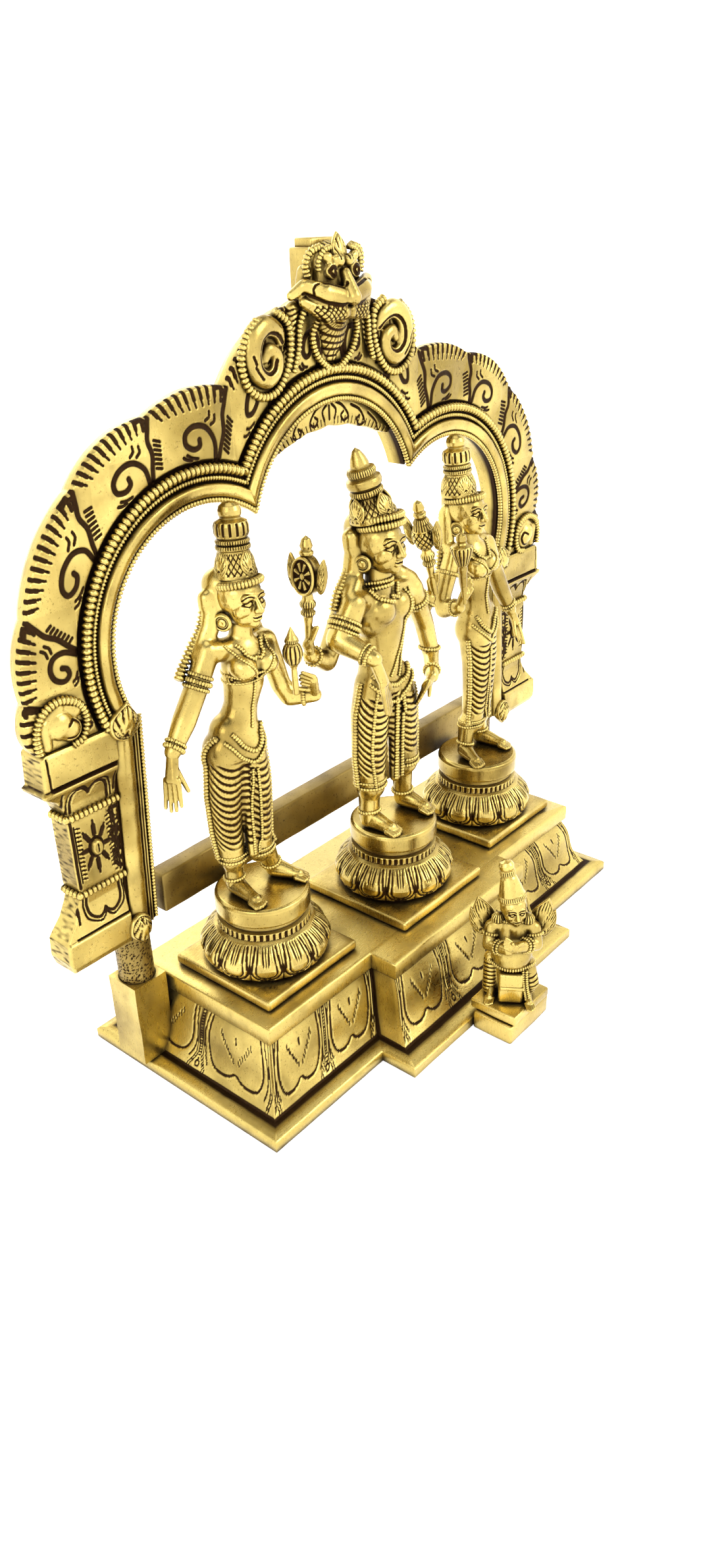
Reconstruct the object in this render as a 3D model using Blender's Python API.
"""Brass household shrine group: a stepped plinth, three standing figures on lotus seats,
a kneeling attendant on a front ledge, and a lift-off trefoil arch on two posts.
Metres, +Z up, the figures face -Y, origin under the middle of the whole object."""

import math

import bmesh
import bpy
from mathutils import Matrix, Vector

GAP = 0.0003                 # clearance between pieces that touch

# Plinth: a flange, a leaning petal skirt and a top slab, all with one step forward in the middle
FLANGE_WIDTH = 0.2200
FLANGE_DEPTH = 0.0937
FLANGE_HEIGHT = 0.0050
STEP_WIDTH = 0.1076
STEP_FORWARD = 0.0146
SLAB_WIDTH = 0.1924
SLAB_DEPTH = 0.0657
SLAB_THICKNESS = 0.0070
SLAB_STEP_WIDTH = 0.0848
SLAB_STEP_FORWARD = 0.0114
PLINTH_HEIGHT = 0.0355
SKIRT_INSET = 0.0065         # skirt foot, in from the flange edge
CORE_INSET = 0.0148          # foot of the hollow, in from the flange edge
SLAB_WALL = 0.0050           # hollow's top, in from the slab edge
TOP_WALL = 0.0045
LEDGE_WIDTH = 0.0260
LEDGE_X = -0.0053            # the ledge sits off the middle
LEDGE_REACH = 0.0174
LEDGE_HEIGHT = 0.0080

# Sockets that take the arch posts
POST_DIAMETER = 0.0126
SOCKET_WALL = 0.0008
SOCKET_TOP = 0.0387
SOCKET_BACK = 0.0170         # back face, in from the flange's back edge
PIN_DEPTH = 0.0195

# Seats
PLATE_THICKNESS = 0.0042
SIDE_PLATE = 0.0464
CENTRE_PLATE = 0.0500
SIDE_SEAT_X = 0.0666
SIDE_SEAT_BACK = 0.0507      # seat axis, in from the flange's back edge
CENTRE_SEAT_BACK = 0.0570
LOTUS_RADIUS = 0.0223
DRUM_RADIUS = 0.0169
SEAT_HEIGHT = 0.0267         # lotus foot to drum top
ATTENDANT_PLATE_WIDTH = 0.0236
ATTENDANT_PLATE_DEPTH = 0.0196
ATTENDANT_PLATE_THICKNESS = 0.0042

# Figures, drum top to crown tip, and how far each one's crown leans from its seat's axis (x, y)
CONSORT_HEIGHT = 0.1330
DEITY_HEIGHT = 0.1400
ATTENDANT_HEIGHT = 0.0550
ATTENDANT_TURN = -50.0        # degrees the attendant is turned from straight ahead
LEFT_LEAN = (0.0015, 0.0)
CENTRE_LEAN = (-0.0030, 0.0)
RIGHT_LEAN = (-0.0065, 0.0030)

# Fixings under the slab
STUD_DIAMETER = 0.0060
STUD_IN_SEAT = 0.0110
NUT_ACROSS = 0.0100
NUT_THICKNESS = 0.0040
WASHER_DIAMETER = 0.0140
WASHER_THICKNESS = 0.0012
RIVET_DIAMETER = 0.0040

# Arch, flat and upright, seen from the front
ARCH_THICKNESS = 0.0086
POST_X = 0.1052
PILASTER_INNER = 0.0950
PILASTER_OUTER = 0.1345
PILASTER_FLARE = 0.1370
PILASTER_BOTTOM = 0.0620
PILASTER_TOP = 0.1384
POST_TOP = 0.0700
LOBE_X = 0.0640
LOBE_Z = 0.1580
LOBE_RADIUS = 0.0395
CROWN_LOBE_Z = 0.1770
CROWN_LOBE_RADIUS = 0.0420
MOULDING = 0.0070
MOULDING_PROUD = 0.0020
RAIL_BOTTOM = 0.0620
RAIL_HEIGHT = 0.0150
RAIL_THICKNESS = 0.0070
TRACERY_DROP = 0.0100
TRACERY_THICKNESS = 0.0040
CREST_HALF_WIDTH = 0.0170
CREST_SEAT_Z = 0.2460
CREST_TOP = 0.2680
CREST_FRONT = 0.0090         # the mask stands proud of the arch by this much

SOCKET_SIZE = POST_DIAMETER + 2 * SOCKET_WALL

# Outer edge of the arch's leaf border, from the cornice up: where each leaf starts, its bulge
BORDER = (
    ((PILASTER_OUTER, PILASTER_TOP + GAP), 0.0030),
    ((0.1350, 0.1570), 0.0020),
    ((0.1290, 0.1800), 0.0040),
    ((0.1090, 0.2100), 0.0040),
    ((0.0800, 0.2250), 0.0030),
    ((0.0480, 0.2290), 0.0045),
    ((0.0190, 0.2460), 0.0),
)

OVERALL_DEPTH = FLANGE_DEPTH + STEP_FORWARD + LEDGE_REACH
BACK_Y = OVERALL_DEPTH / 2
FRONT_Y = BACK_Y - FLANGE_DEPTH
STEP_Y = FRONT_Y - STEP_FORWARD
SLAB_SETBACK = (FLANGE_DEPTH - SLAB_DEPTH) / 2
POST_Y = BACK_Y - SOCKET_BACK - SOCKET_SIZE / 2
ARCH_BACK_Y = POST_Y - 0.0006
ARCH_FRONT_Y = ARCH_BACK_Y - ARCH_THICKNESS


def clear_scene():
    for old in list(bpy.data.objects):
        bpy.data.objects.remove(old, do_unlink=True)


def brass(name, colour, roughness):
    material = bpy.data.materials.new(name)
    material.use_nodes = True
    shader = material.node_tree.nodes["Principled BSDF"]
    shader.inputs["Base Color"].default_value = (*colour, 1.0)
    shader.inputs["Metallic"].default_value = 1.0
    shader.inputs["Roughness"].default_value = roughness
    return material


def add_object(name, bm, material, sharp_angle=35.0):
    bmesh.ops.recalc_face_normals(bm, faces=bm.faces)
    mesh = bpy.data.meshes.new(name)
    bm.to_mesh(mesh)
    bm.free()
    mesh.shade_smooth()
    mesh.set_sharp_from_angle(angle=math.radians(sharp_angle))
    mesh.materials.append(material)
    piece = bpy.data.objects.new(name, mesh)
    bpy.context.scene.collection.objects.link(piece)
    return piece


def bevel_edges(piece, width, segments=1):
    bevel = piece.modifiers.new("bevel", "BEVEL")
    bevel.width = width
    bevel.segments = segments
    bevel.limit_method = "ANGLE"
    bevel.angle_limit = math.radians(40)


def hide_as_guide(piece):
    piece.hide_render = True
    piece.display_type = "WIRE"


def cut(piece, cutter):
    hide_as_guide(cutter)
    boolean = piece.modifiers.new("cut", "BOOLEAN")
    boolean.operation = "DIFFERENCE"
    boolean.object = cutter


def box_mesh(low, high):
    bm = bmesh.new()
    bmesh.ops.create_cube(bm, size=1.0)
    size = Vector(high) - Vector(low)
    centre = (Vector(high) + Vector(low)) / 2
    bmesh.ops.transform(bm, matrix=Matrix.Translation(centre) @ Matrix.Diagonal((*size, 1.0)), verts=bm.verts)
    return bm


def box(name, low, high, material):
    return add_object(name, box_mesh(low, high), material)


def turned_mesh(profile, steps):
    """A solid of revolution about Z from (radius, height) points, foot to top."""
    bm = bmesh.new()
    rings = []
    for radius, height in profile:
        ring = []
        for step in range(steps):
            turn = 2 * math.pi * step / steps
            ring.append(bm.verts.new((radius * math.cos(turn), radius * math.sin(turn), height)))
        rings.append(ring)
    for lower, upper in zip(rings, rings[1:]):
        for step in range(steps):
            after = (step + 1) % steps
            bm.faces.new((lower[step], lower[after], upper[after], upper[step]))
    bm.faces.new(rings[0])
    bm.faces.new(rings[-1])
    return bm


def turned(name, profile, steps, at, material):
    bm = turned_mesh(profile, steps)
    bmesh.ops.translate(bm, vec=Vector(at), verts=bm.verts)
    return add_object(name, bm, material)


def rod(name, diameter, at, low, high, material, steps=16):
    return turned(name, ((diameter / 2, low), (diameter / 2, high)), steps, (*at, 0.0), material)


def plate_mesh(outline, front, back):
    """An upright plate: an (x, z) outline drawn from the front, between two depths."""
    bm = bmesh.new()
    face = bm.faces.new([bm.verts.new((x, front, z)) for x, z in outline])
    grown = bmesh.ops.extrude_face_region(bm, geom=[face])
    moved = [item for item in grown["geom"] if isinstance(item, bmesh.types.BMVert)]
    bmesh.ops.translate(bm, vec=(0.0, back - front, 0.0), verts=moved)
    return bm


# ---------------------------------------------------------------- plinth

def stepped_outline(level):
    """Plan of the plinth at a level: 0 is the flange edge, 1 is the slab edge."""
    half = FLANGE_WIDTH / 2 + (SLAB_WIDTH - FLANGE_WIDTH) / 2 * level
    step = STEP_WIDTH / 2 + (SLAB_STEP_WIDTH - STEP_WIDTH) / 2 * level
    back = BACK_Y - SLAB_SETBACK * level
    front = FRONT_Y + SLAB_SETBACK * level
    forward = front - STEP_FORWARD - (SLAB_STEP_FORWARD - STEP_FORWARD) * level
    return ((half, back), (-half, back), (-half, front), (-step, front),
            (-step, forward), (step, forward), (step, front), (half, front))


def inset_level(inset):
    return inset / SLAB_SETBACK


def build_plinth(material, seats, sockets):
    slab_bottom = PLINTH_HEIGHT - SLAB_THICKNESS
    foot = inset_level(SKIRT_INSET)
    under_slab = 1 + inset_level(0.0020)
    middle = foot + (under_slab - foot) * 0.62
    outer = ((0.0, 0.0), (0.0, FLANGE_HEIGHT), (foot, FLANGE_HEIGHT + 0.0002), (middle, slab_bottom * 0.55),
             (under_slab, slab_bottom - 0.0002), (1.0, slab_bottom), (1.0, PLINTH_HEIGHT))
    inner = ((inset_level(CORE_INSET), 0.0), (1 + inset_level(SLAB_WALL), PLINTH_HEIGHT - TOP_WALL))
    bm = bmesh.new()

    def ring(level, height):
        return [bm.verts.new((x, y, height)) for x, y in stepped_outline(level)]

    def wall(lower, upper):
        for index in range(len(lower)):
            after = (index + 1) % len(lower)
            bm.faces.new((lower[index], lower[after], upper[after], upper[index]))

    outer_rings = [ring(level, height) for level, height in outer]
    inner_rings = [ring(level, height) for level, height in inner]
    for lower, upper in zip(outer_rings, outer_rings[1:]):
        wall(lower, upper)
    wall(inner_rings[0], inner_rings[1])
    wall(outer_rings[0], inner_rings[0])
    bm.faces.new(outer_rings[-1])
    bm.faces.new(inner_rings[-1])
    plinth = add_object("plinth", bm, material)
    for seat_name, at, diameter in seats:
        hole = rod(seat_name + "_hole_guide", diameter + 2 * GAP, at, -0.01, PLINTH_HEIGHT + 0.01, material)
        cut(plinth, hole)
    for side, at in sockets:
        reach = SOCKET_SIZE / 2 + GAP
        notch = box(side + "_notch_guide", (at[0] - reach, at[1] - reach, FLANGE_HEIGHT),
                    (at[0] + reach, at[1] + reach, SOCKET_TOP + 0.01), material)
        cut(plinth, notch)
    return plinth


def build_socket(side, at, material):
    half = SOCKET_SIZE / 2
    socket = box(side + "_post_socket", (at[0] - half, at[1] - half, FLANGE_HEIGHT + GAP),
                 (at[0] + half, at[1] + half, SOCKET_TOP), material)
    floor = SOCKET_TOP - PIN_DEPTH - GAP
    bore = rod(side + "_bore_guide", POST_DIAMETER + 2 * GAP, at, floor, SOCKET_TOP + 0.01, material, 24)
    cut(socket, bore)


def build_ledge(material):
    half = LEDGE_WIDTH / 2
    ledge = box("front_ledge", (LEDGE_X - half, STEP_Y - LEDGE_REACH, 0.0),
                (LEDGE_X + half, STEP_Y - GAP, LEDGE_HEIGHT), material)
    bevel_edges(ledge, 0.0008)
    return ledge


# ---------------------------------------------------------------- seats

def build_plate(name, at, width, depth, bottom, thickness, stud, material):
    plate = box(name, (at[0] - width / 2, at[1] - depth / 2, bottom + GAP),
                (at[0] + width / 2, at[1] + depth / 2, bottom + thickness), material)
    bevel_edges(plate, 0.0007)
    hole = rod(name + "_hole_guide", stud + 2 * GAP, at, bottom - 0.01, bottom + thickness + 0.01, material)
    cut(plate, hole)


def build_lotus(name, at, material):
    """Petal skirt, beaded neck and drum in one turned casting."""
    foot = PLINTH_HEIGHT + PLATE_THICKNESS + GAP
    neck = DRUM_RADIUS * 0.91
    profile = (
        (LOTUS_RADIUS * 0.90, 0.0), (LOTUS_RADIUS, 0.0025), (LOTUS_RADIUS * 0.99, 0.0065),
        (LOTUS_RADIUS * 0.87, 0.0100), (neck + 0.0012, 0.0125), (neck, 0.0135), (neck, 0.0165),
        (DRUM_RADIUS - 0.0008, 0.0185), (DRUM_RADIUS, 0.0195), (DRUM_RADIUS, SEAT_HEIGHT - GAP - 0.0008),
        (DRUM_RADIUS - 0.0008, SEAT_HEIGHT - GAP))
    lotus = turned(name, profile, 28, (*at, foot), material)
    hole = rod(name + "_hole_guide", STUD_DIAMETER + 2 * GAP, at, foot - 0.01, foot + STUD_IN_SEAT + GAP, material)
    cut(lotus, hole)


def build_fixing(name, at, stud, top, under, material):
    """Stud from the seat down through the metal below it, with a washer and a nut."""
    washer_top = under - GAP
    washer_bottom = washer_top - WASHER_THICKNESS
    nut_bottom = washer_bottom - GAP - NUT_THICKNESS
    scale = stud / STUD_DIAMETER
    rod(name + "_stud", stud, at, nut_bottom - 0.0015, top, material, 12)
    washer = rod(name + "_washer", WASHER_DIAMETER * scale, at, washer_bottom, washer_top, material, 20)
    nut = rod(name + "_nut", NUT_ACROSS * scale / math.cos(math.pi / 6), at, nut_bottom, washer_bottom - GAP,
              material, 6)
    for piece, low, high in ((washer, washer_bottom, washer_top), (nut, nut_bottom, washer_bottom)):
        hole = rod(piece.name + "_hole_guide", stud + 2 * GAP, at, low - 0.01, high + 0.01, material, 12)
        cut(piece, hole)


# ---------------------------------------------------------------- figures

def add_limb(bm, start, end, start_radius, end_radius, flatten=1.0):
    """A tapered limb with round ends; flatten squashes it from front to back."""
    start, end = Vector(start), Vector(end)
    along = end - start
    turn = along.to_track_quat("Z", "Y").to_matrix().to_4x4()
    squash = Matrix.Diagonal((1.0, flatten, 1.0, 1.0))
    place = Matrix.Translation(start) @ squash @ turn @ Matrix.Translation((0, 0, along.length / 2))
    bmesh.ops.create_cone(bm, cap_ends=True, segments=16, radius1=start_radius, radius2=end_radius,
                          depth=along.length, matrix=place)
    for point, radius in ((start, start_radius), (end, end_radius)):
        bmesh.ops.create_uvsphere(bm, u_segments=12, v_segments=8, radius=radius,
                                  matrix=Matrix.Translation(point) @ squash)


# Limbs in millimetres from the middle of the drum top: start, end, two radii, flatten
CONSORT = (
    ((-6.5, 3, 3.0), (-8.0, -8, 2.4), 2.9, 2.6, 1.0),       # feet
    ((4.5, 2, 3.0), (6.5, -9, 2.4), 2.9, 2.6, 1.0),
    ((-6.0, 1, 4), (-6.5, 0, 20), 3.0, 5.0, 1.0),           # ankles and legs
    ((4.0, 0, 4), (2.5, -1, 20), 3.0, 5.0, 1.0),
    ((-6.0, 1, 14), (-8.0, 1, 50), 5.6, 8.2, 1.0),
    ((2.0, 0, 14), (1.5, 0, 50), 5.4, 7.6, 1.0),
    ((-3.5, 1, 50), (-3.0, 1, 63), 11.5, 9.5, 0.8),         # hips and waist
    ((-3.0, 1, 63), (-1.0, 0, 74), 8.5, 5.6, 0.9),
    ((-1.0, 0, 74), (0.0, -1, 85), 5.8, 8.0, 0.9),
    ((-10.0, 0, 90), (10.0, 0, 90), 3.9, 3.9, 1.0),         # shoulders and bust
    ((-4.6, -4.5, 85), (-4.4, -5.0, 84), 4.6, 4.6, 1.0),
    ((4.6, -4.5, 85), (4.4, -5.0, 84), 4.6, 4.6, 1.0),
    ((0.0, 0, 90), (0.0, 0, 99), 3.6, 3.4, 1.0),            # neck, head, hair and crown
    ((0.0, -1, 103), (0.0, -1, 108), 6.4, 7.4, 1.0),
    ((0.0, 4, 108), (0.0, 8, 109), 4.0, 4.0, 1.0),
    ((-7.0, 3, 106), (-11.0, 4, 90), 2.0, 2.6, 1.0),
    ((7.0, 3, 106), (11.0, 4, 90), 2.0, 2.6, 1.0),
    ((0.0, 0, 112), (0.0, 1, 121), 7.6, 5.2, 1.0),
    ((0.0, 1, 121), (0.0, 1, 129.5), 4.8, 3.5, 1.0),
    ((-12.0, 0, 89), (-21.0, 3, 76), 3.7, 3.3, 1.0),        # hanging arm
    ((-21.0, 3, 76), (-30.0, 1, 62), 3.3, 2.5, 1.0),
    ((-30.0, 1, 60), (-31.0, -2, 49), 2.6, 1.8, 1.0),
    ((12.0, 0, 89), (15.0, 3, 70), 3.7, 3.2, 1.0),          # raised arm
    ((15.0, 3, 70), (19.5, -9, 70), 3.2, 2.6, 1.0),
    ((19.5, -9, 70), (20.0, -11, 74), 3.0, 2.6, 1.0),
)
CONSORT_NOMINAL = 133.0
CONSORT_BUD = (20.0, -11.0, 77.4)

DEITY = (
    ((-7.0, 4, 3.2), (-8.5, -9, 2.6), 3.2, 2.8, 1.0),
    ((7.0, 3, 3.2), (9.0, -9, 2.6), 3.2, 2.8, 1.0),
    ((-6.0, 2, 4), (-5.5, 1, 22), 3.6, 5.8, 1.0),
    ((6.0, 2, 4), (5.0, 1, 22), 3.6, 5.8, 1.0),
    ((-5.5, 2, 22), (-6.5, 2, 52), 6.6, 8.8, 1.0),
    ((5.0, 2, 22), (6.0, 2, 52), 6.6, 8.8, 1.0),
    ((-1.0, 2, 52), (-1.0, 2, 62), 12.5, 10.5, 0.75),
    ((-1.0, 2, 62), (-1.5, 2, 76), 9.5, 9.5, 0.85),
    ((-1.5, 2, 76), (-2.0, 2, 86), 10.0, 11.5, 0.8),
    ((-15.0, 2, 91), (11.0, 2, 91), 5.0, 5.0, 0.9),
    ((-2.0, 2, 92), (-2.5, 2, 101), 4.8, 4.4, 1.0),
    ((-3.0, 1.5, 106), (-3.0, 1.5, 112), 7.8, 9.0, 1.0),
    ((-3.0, 9, 112), (-3.0, 11, 112), 4.5, 4.5, 1.0),
    ((-10.5, 5, 110), (-14.0, 6, 94), 2.4, 3.0, 1.0),
    ((4.5, 5, 110), (9.0, 6, 94), 2.4, 3.0, 1.0),
    ((-3.5, 3, 118), (-4.0, 4, 127), 9.2, 6.5, 1.0),
    ((-4.0, 4, 127), (-4.5, 5, 136.5), 5.4, 3.5, 1.0),
    ((-17.0, 2, 90), (-24.0, 2, 74), 4.6, 4.2, 1.0),        # lowered open hand
    ((-24.0, 2, 74), (-21.0, -13, 72), 4.0, 3.2, 1.0),
    ((-21.0, -14, 71), (-21.0, -15, 61), 3.0, 2.0, 1.0),
    ((13.0, 2, 90), (22.0, 3, 74), 4.6, 4.2, 1.0),          # hand at the thigh
    ((22.0, 3, 74), (18.0, -7, 58), 4.0, 2.8, 1.0),
    ((18.0, -7, 58), (15.0, -9, 50), 2.8, 2.2, 1.0),
    ((-17.0, 5, 90), (-27.0, 8, 78), 3.8, 3.2, 1.0),        # rear arms, raised
    ((-27.0, 8, 78), (-33.0, 4, 86), 3.2, 2.6, 1.0),
    ((-33.0, 4, 86), (-33.0, 3, 91), 3.2, 2.8, 1.0),
    ((13.0, 5, 90), (24.0, 8, 78), 3.8, 3.2, 1.0),
    ((24.0, 8, 78), (27.0, 4, 86), 3.2, 2.6, 1.0),
    ((27.0, 4, 86), (27.0, 3, 91), 3.2, 2.8, 1.0),
)
DEITY_NOMINAL = 140.0
DEITY_DISCUS = (-33.0, 3.0, 94.6)
DEITY_CONCH = (27.0, 3.0, 94.6)

ATTENDANT = (
    ((-4.5, 4, 3.0), (-5.0, -4, 3.6), 3.2, 3.4, 1.0),       # folded legs
    ((4.5, 4, 3.0), (5.0, -4, 3.6), 3.2, 3.4, 1.0),
    ((-5.0, -5, 4), (-3.0, 3, 13), 3.4, 4.2, 1.0),
    ((5.0, -5, 4), (3.0, 3, 13), 3.4, 4.2, 1.0),
    ((0.0, 2, 14), (0.0, 2, 25), 6.4, 6.2, 0.85),
    ((-5.5, 1, 28), (5.5, 1, 28), 3.2, 3.2, 1.0),
    ((0.0, 1, 29), (0.0, 0, 37), 3.0, 4.8, 1.0),
    ((0.0, 0, 38), (0.0, 1, 45), 5.2, 4.4, 1.0),
    ((0.0, 1, 45), (0.0, 1, 53.5), 3.6, 1.6, 1.0),
    ((-6.5, 1, 27), (-7.5, 1, 20), 2.4, 2.2, 1.0),
    ((-7.5, 1, 20), (-0.5, -7, 24), 2.2, 1.9, 1.0),
    ((6.5, 1, 27), (7.5, 1, 20), 2.4, 2.2, 1.0),
    ((7.5, 1, 20), (0.5, -7, 24), 2.2, 1.9, 1.0),
    ((0.0, -7, 24), (0.0, -7.5, 29), 2.0, 1.6, 1.0),
    ((-5.0, 6, 28), (-9.0, 8, 16), 2.4, 1.8, 1.0),          # folded wings
    ((5.0, 6, 28), (9.0, 8, 16), 2.4, 1.8, 1.0),
)
ATTENDANT_NOMINAL = 55.0


def leaning(lean, height):
    """Shear that carries a crown at this height over by lean."""
    shear = Matrix.Identity(4)
    shear[0][2] = lean[0] / height
    shear[1][2] = lean[1] / height
    return shear


def build_figure(name, limbs, nominal, height, lean, at, floor, side, voxel, keep, material, turn=0.0):
    """Limbs melted into one skin, trimmed flat where the figure stands. side -1 mirrors it."""
    unit = height / nominal
    bm = bmesh.new()
    for start, end, start_radius, end_radius, flatten in limbs:
        add_limb(bm, Vector(start) * unit, Vector(end) * unit, start_radius * unit, end_radius * unit, flatten)
    facing = Matrix.Rotation(math.radians(turn), 4, "Z") @ Matrix.Diagonal((side, 1.0, 1.0, 1.0))
    bmesh.ops.transform(bm, matrix=facing, verts=bm.verts)
    bmesh.ops.transform(bm, matrix=Matrix.Translation((*at, floor)) @ leaning(lean, height), verts=bm.verts)
    figure = add_object(name, bm, material, 60.0)
    melt(figure, voxel, keep)
    reach = 0.05
    sole = box(name + "_sole_guide", (at[0] - reach, at[1] - reach, floor - reach),
               (at[0] + reach, at[1] + reach, floor + GAP), material)
    cut(figure, sole)
    return figure


def held_place(offset, nominal, height, lean, at, floor, side=1.0):
    """Foot of what a raised hand holds, just above its palm."""
    place = Vector((side * offset[0], offset[1], offset[2])) * (height / nominal)
    return Matrix.Translation((*at, floor)) @ leaning(lean, height) @ place


def build_bud(name, at, material):
    profile = ((0.0011, 0.0), (0.0011, 0.0070), (0.0030, 0.0090), (0.0033, 0.0120), (0.0024, 0.0145),
               (0.0012, 0.0160), (0.0004, 0.0180))
    turned(name, profile, 14, at, material)


def build_discus(at, material):
    """Stem, wheel with a flame on each side and one on top."""
    stem = turned_mesh(((0.0016, 0.0), (0.0014, 0.0040), (0.0022, 0.0065)), 12)
    bmesh.ops.create_cone(stem, cap_ends=True, segments=20, radius1=0.0066, radius2=0.0066, depth=0.0036,
                          matrix=Matrix.Translation((0, 0, 0.0120)) @ Matrix.Rotation(math.pi / 2, 4, "X"))
    add_limb(stem, (0, 0, 0.0170), (0, 0, 0.0230), 0.0022, 0.0008)
    bmesh.ops.translate(stem, vec=Vector(at), verts=stem.verts)
    discus = add_object("discus", stem, material, 60.0)
    melt(discus, 0.0007, 0.22)


def build_conch(at, material):
    bm = turned_mesh(((0.0016, 0.0), (0.0014, 0.0040), (0.0036, 0.0075), (0.0048, 0.0110), (0.0040, 0.0145),
                      (0.0026, 0.0180), (0.0012, 0.0220), (0.0005, 0.0240)), 16)
    bmesh.ops.translate(bm, vec=Vector(at), verts=bm.verts)
    add_object("conch", bm, material)


def melt(piece, voxel, keep):
    skin = piece.modifiers.new("skin", "REMESH")
    skin.mode = "VOXEL"
    skin.voxel_size = voxel
    skin.use_smooth_shade = True
    lighter = piece.modifiers.new("lighter", "DECIMATE")
    lighter.ratio = keep
    lighter.use_collapse_triangulate = True


# ---------------------------------------------------------------- arch

def arc(centre, radius, start, end, steps):
    """Points (x, z) on a circle, from one angle to another."""
    points = []
    for step in range(steps + 1):
        turn = start + (end - start) * step / steps
        points.append((centre[0] + radius * math.cos(turn), centre[1] + radius * math.sin(turn)))
    return points


def cusp(grow):
    """Where the right side lobe meets the crown lobe, both grown by the same amount."""
    across = Vector((-LOBE_X, CROWN_LOBE_Z - LOBE_Z))
    distance = across.length
    side, crown = LOBE_RADIUS + grow, CROWN_LOBE_RADIUS + grow
    along = (side ** 2 - crown ** 2 + distance ** 2) / (2 * distance)
    up = math.sqrt(side ** 2 - along ** 2)
    unit = across / distance
    return (LOBE_X + unit.x * along + unit.y * up, LOBE_Z + unit.y * along - unit.x * up)


def trefoil(grow, foot_z, lobe_steps=14, crown_steps=16):
    """The opening's edge from the right foot over the top to the left foot, grown outwards."""
    meet = cusp(grow)
    foot = math.asin(max(-1.0, (foot_z - LOBE_Z) / (LOBE_RADIUS + grow)))
    side_end = math.atan2(meet[1] - LOBE_Z, meet[0] - LOBE_X)
    right = arc((LOBE_X, LOBE_Z), LOBE_RADIUS + grow, foot, side_end, lobe_steps)
    crown_start = math.atan2(meet[1] - CROWN_LOBE_Z, meet[0])
    crown = arc((0.0, CROWN_LOBE_Z), CROWN_LOBE_RADIUS + grow, crown_start, math.pi - crown_start, crown_steps)
    left = [(-x, z) for x, z in reversed(right)]
    return right + crown[1:-1] + left


def leaf_edge(steps=5):
    """Right half of the border's outer edge, from the cornice up to the crest's seat."""
    points = []
    for (start, bulge), (end, _) in zip(BORDER, BORDER[1:]):
        start, end = Vector(start), Vector(end)
        across = end - start
        outward = Vector((across.y, -across.x)).normalized()
        for step in range(steps):
            share = step / steps
            points.append(tuple(start + across * share + outward * bulge * math.sin(math.pi * share)))
    points.append((CREST_HALF_WIDTH + GAP, CREST_SEAT_Z))
    return points


def build_band(material):
    """Flat leaf border with a half-round moulding that stands proud around the opening."""
    foot = PILASTER_TOP + GAP
    right = leaf_edge()
    inner = trefoil(0.0, foot)
    outline = right + [(-x, z) for x, z in reversed(right)] + list(reversed(inner))
    band = add_object("arch_band", plate_mesh(outline, ARCH_FRONT_Y, ARCH_BACK_Y), material)
    edge = 0.0006
    strip = trefoil(MOULDING, foot + edge) + list(reversed(trefoil(edge, foot + edge)))
    moulding = add_object("moulding_guide", plate_mesh(strip, ARCH_FRONT_Y - MOULDING_PROUD, ARCH_FRONT_Y + 0.002),
                          material)
    bevel_edges(moulding, 0.0012)
    hide_as_guide(moulding)
    join = band.modifiers.new("join", "BOOLEAN")
    join.operation = "UNION"
    join.object = moulding


def build_tracery(material):
    """Thin scalloped lace that hangs inside the crown lobe."""
    meet = cusp(-GAP)
    start = math.atan2(meet[1] + 0.0015 - CROWN_LOBE_Z, meet[0])
    radius = CROWN_LOBE_RADIUS - GAP
    outer = arc((0.0, CROWN_LOBE_Z), radius, start, math.pi - start, 18)
    lower = []
    scallops, steps = 8, 3
    for index in range(scallops * steps + 1):
        share = index / (scallops * steps)
        turn = start + (math.pi - 2 * start) * share
        depth = TRACERY_DROP * math.sin(math.pi * share) ** 0.5 if 0.0 < share < 1.0 else 0.0
        ripple = 0.0010 * abs(math.sin(math.pi * share * scallops))
        inward = radius - 0.0012 - depth + ripple
        lower.append((inward * math.cos(turn), CROWN_LOBE_Z + inward * math.sin(turn)))
    outline = outer + list(reversed(lower))
    back = ARCH_BACK_Y - 0.0010
    add_object("crown_tracery", plate_mesh(outline, back - TRACERY_THICKNESS, back), material)


def build_pilaster(side_name, side, material):
    """Moulded upright: foot band, flared cove, panel and cornice, drawn as one outline."""
    panel_edge = PILASTER_OUTER - 0.0065
    foot_inner = POST_X + POST_DIAMETER / 2 + GAP
    outline = (
        (PILASTER_INNER, POST_TOP), (foot_inner, POST_TOP), (foot_inner, PILASTER_BOTTOM + 0.0030),
        (PILASTER_FLARE - 0.0010, PILASTER_BOTTOM), (PILASTER_FLARE, PILASTER_BOTTOM + 0.0080),
        (PILASTER_FLARE - 0.0045, PILASTER_BOTTOM + 0.0150), (panel_edge, PILASTER_BOTTOM + 0.0250),
        (panel_edge, PILASTER_TOP - 0.0220), (PILASTER_OUTER - 0.0040, PILASTER_TOP - 0.0150),
        (PILASTER_OUTER, PILASTER_TOP - 0.0118), (PILASTER_OUTER, PILASTER_TOP), (PILASTER_INNER, PILASTER_TOP))
    points = [(side * x, z) for x, z in outline]
    pilaster = add_object(side_name + "_pilaster", plate_mesh(points, ARCH_FRONT_Y, ARCH_BACK_Y), material)
    bevel_edges(pilaster, 0.0006)


def build_post(side_name, at, material):
    foot = SOCKET_TOP - PIN_DEPTH
    radius = POST_DIAMETER / 2
    profile = ((radius - 0.0008, foot), (radius, foot + 0.0010), (radius, POST_TOP - 0.0010),
               (radius - 0.0008, POST_TOP - GAP))
    turned(side_name + "_post", profile, 24, (*at, 0.0), material)


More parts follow.
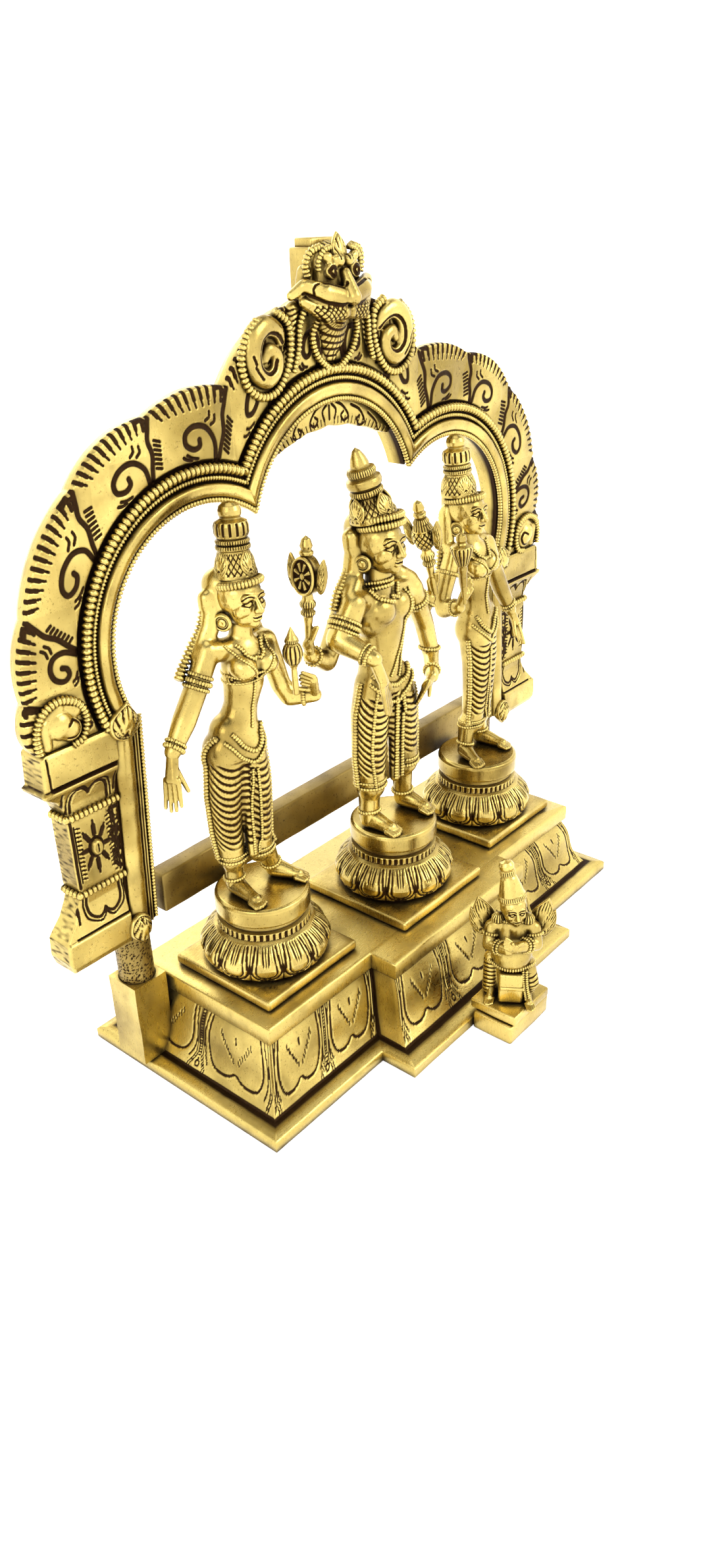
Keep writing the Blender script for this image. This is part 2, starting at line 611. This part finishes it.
def build_rail(material):
    half = PILASTER_INNER - GAP
    rail = box("cross_rail", (-half, ARCH_BACK_Y - RAIL_THICKNESS, RAIL_BOTTOM),
               (half, ARCH_BACK_Y, RAIL_BOTTOM + RAIL_HEIGHT), material)
    bevel_edges(rail, 0.0006)


def build_crest(material):
    """Guardian mask over the arch: cheeks, eyes, snout, chin and curled mane."""
    middle = (ARCH_FRONT_Y + ARCH_BACK_Y) / 2
    front = ARCH_FRONT_Y - CREST_FRONT
    bm = bmesh.new()
    lift = CREST_TOP - 0.2680
    for side in (-1, 1):
        add_limb(bm, (side * 0.0115, middle - 0.002, 0.2480 + lift), (side * 0.0115, middle, 0.2620 + lift),
                 0.0056, 0.0056)
        add_limb(bm, (side * 0.0060, front + 0.0035, 0.2500), (side * 0.0060, front + 0.0040, 0.2510), 0.0036, 0.0036)
        add_limb(bm, (side * 0.0040, front + 0.0045, 0.2420), (side * 0.0125, front + 0.0065, 0.2460), 0.0036, 0.0030)
    add_limb(bm, (0, middle, 0.2480 + lift), (0, middle - 0.003, 0.2645 + lift), 0.0070, 0.0035)
    add_limb(bm, (0, front + 0.0030, 0.2470), (0, front + 0.0055, 0.2530), 0.0030, 0.0034)
    add_limb(bm, (0, front + 0.0055, 0.2320), (0, front + 0.0050, 0.2400), 0.0040, 0.0048)
    add_limb(bm, (0, middle, 0.2490), (0, front + 0.0060, 0.2460), 0.0090, 0.0060)
    crest = add_object("crest_mask", bm, material, 60.0)
    melt(crest, 0.0011, 0.14)
    seat = box("crest_seat_guide", (-0.05, ARCH_FRONT_Y - GAP, 0.10), (0.05, ARCH_BACK_Y + 0.02, CREST_SEAT_Z + GAP),
               material)
    cut(crest, seat)


# ---------------------------------------------------------------- assembly

def main():
    clear_scene()
    polished = brass("polished_brass", (0.60, 0.42, 0.13), 0.26)
    dark = brass("aged_brass", (0.36, 0.25, 0.09), 0.38)
    steel = brass("zinc_steel", (0.55, 0.55, 0.53), 0.40)

    seat_y = BACK_Y - SIDE_SEAT_BACK
    seats = {
        "left": (-SIDE_SEAT_X, seat_y),
        "centre": (0.0, BACK_Y - CENTRE_SEAT_BACK),
        "right": (SIDE_SEAT_X, seat_y),
    }
    sockets = (("left", (-POST_X, POST_Y)), ("right", (POST_X, POST_Y)))

    build_plinth(polished, [(name, at, STUD_DIAMETER) for name, at in seats.items()], sockets)
    for side, at in sockets:
        build_socket(side, at, polished)
        build_post(side, at, polished)
    ledge = build_ledge(polished)

    floor = PLINTH_HEIGHT + PLATE_THICKNESS + SEAT_HEIGHT
    for name, at in seats.items():
        size = CENTRE_PLATE if name == "centre" else SIDE_PLATE
        build_plate(name + "_square_plate", at, size, size, PLINTH_HEIGHT, PLATE_THICKNESS, STUD_DIAMETER, polished)
        build_lotus(name + "_lotus_seat", at, polished)
        stud_top = PLINTH_HEIGHT + PLATE_THICKNESS + STUD_IN_SEAT
        build_fixing(name, at, STUD_DIAMETER, stud_top, PLINTH_HEIGHT - TOP_WALL, steel)

    for name, side, lean in (("left", 1.0, LEFT_LEAN), ("right", -1.0, RIGHT_LEAN)):
        build_figure(name + "_consort", CONSORT, CONSORT_NOMINAL, CONSORT_HEIGHT, lean, seats[name], floor, side,
                     0.0017, 0.19, polished)
        bud_at = held_place(CONSORT_BUD, CONSORT_NOMINAL, CONSORT_HEIGHT, lean, seats[name], floor, side)
        build_bud(name + "_lotus_bud", bud_at, polished)
    build_figure("centre_deity", DEITY, DEITY_NOMINAL, DEITY_HEIGHT, CENTRE_LEAN, seats["centre"], floor, 1.0,
                 0.0018, 0.19, polished)
    for build, offset in ((build_discus, DEITY_DISCUS), (build_conch, DEITY_CONCH)):
        build(held_place(offset, DEITY_NOMINAL, DEITY_HEIGHT, CENTRE_LEAN, seats["centre"], floor), polished)

    ledge_at = (LEDGE_X, STEP_Y - LEDGE_REACH / 2 + 0.0005)
    cut(ledge, rod("ledge_hole_guide", RIVET_DIAMETER + 2 * GAP, ledge_at, -0.01, LEDGE_HEIGHT + 0.01, polished))
    plate_top = LEDGE_HEIGHT + ATTENDANT_PLATE_THICKNESS
    build_plate("attendant_plate", ledge_at, ATTENDANT_PLATE_WIDTH, ATTENDANT_PLATE_DEPTH, LEDGE_HEIGHT,
                ATTENDANT_PLATE_THICKNESS, RIVET_DIAMETER, polished)
    rod("attendant_rivet", RIVET_DIAMETER, ledge_at, 0.0005, plate_top, polished, 12)
    build_figure("kneeling_attendant", ATTENDANT, ATTENDANT_NOMINAL, ATTENDANT_HEIGHT, (0.0, 0.0), ledge_at,
                 plate_top, 1.0, 0.0011, 0.16, polished, ATTENDANT_TURN)

    build_band(polished)
    build_tracery(polished)
    build_crest(polished)
    build_pilaster("left", -1, polished)
    build_pilaster("right", 1, polished)
    build_rail(dark)


main()
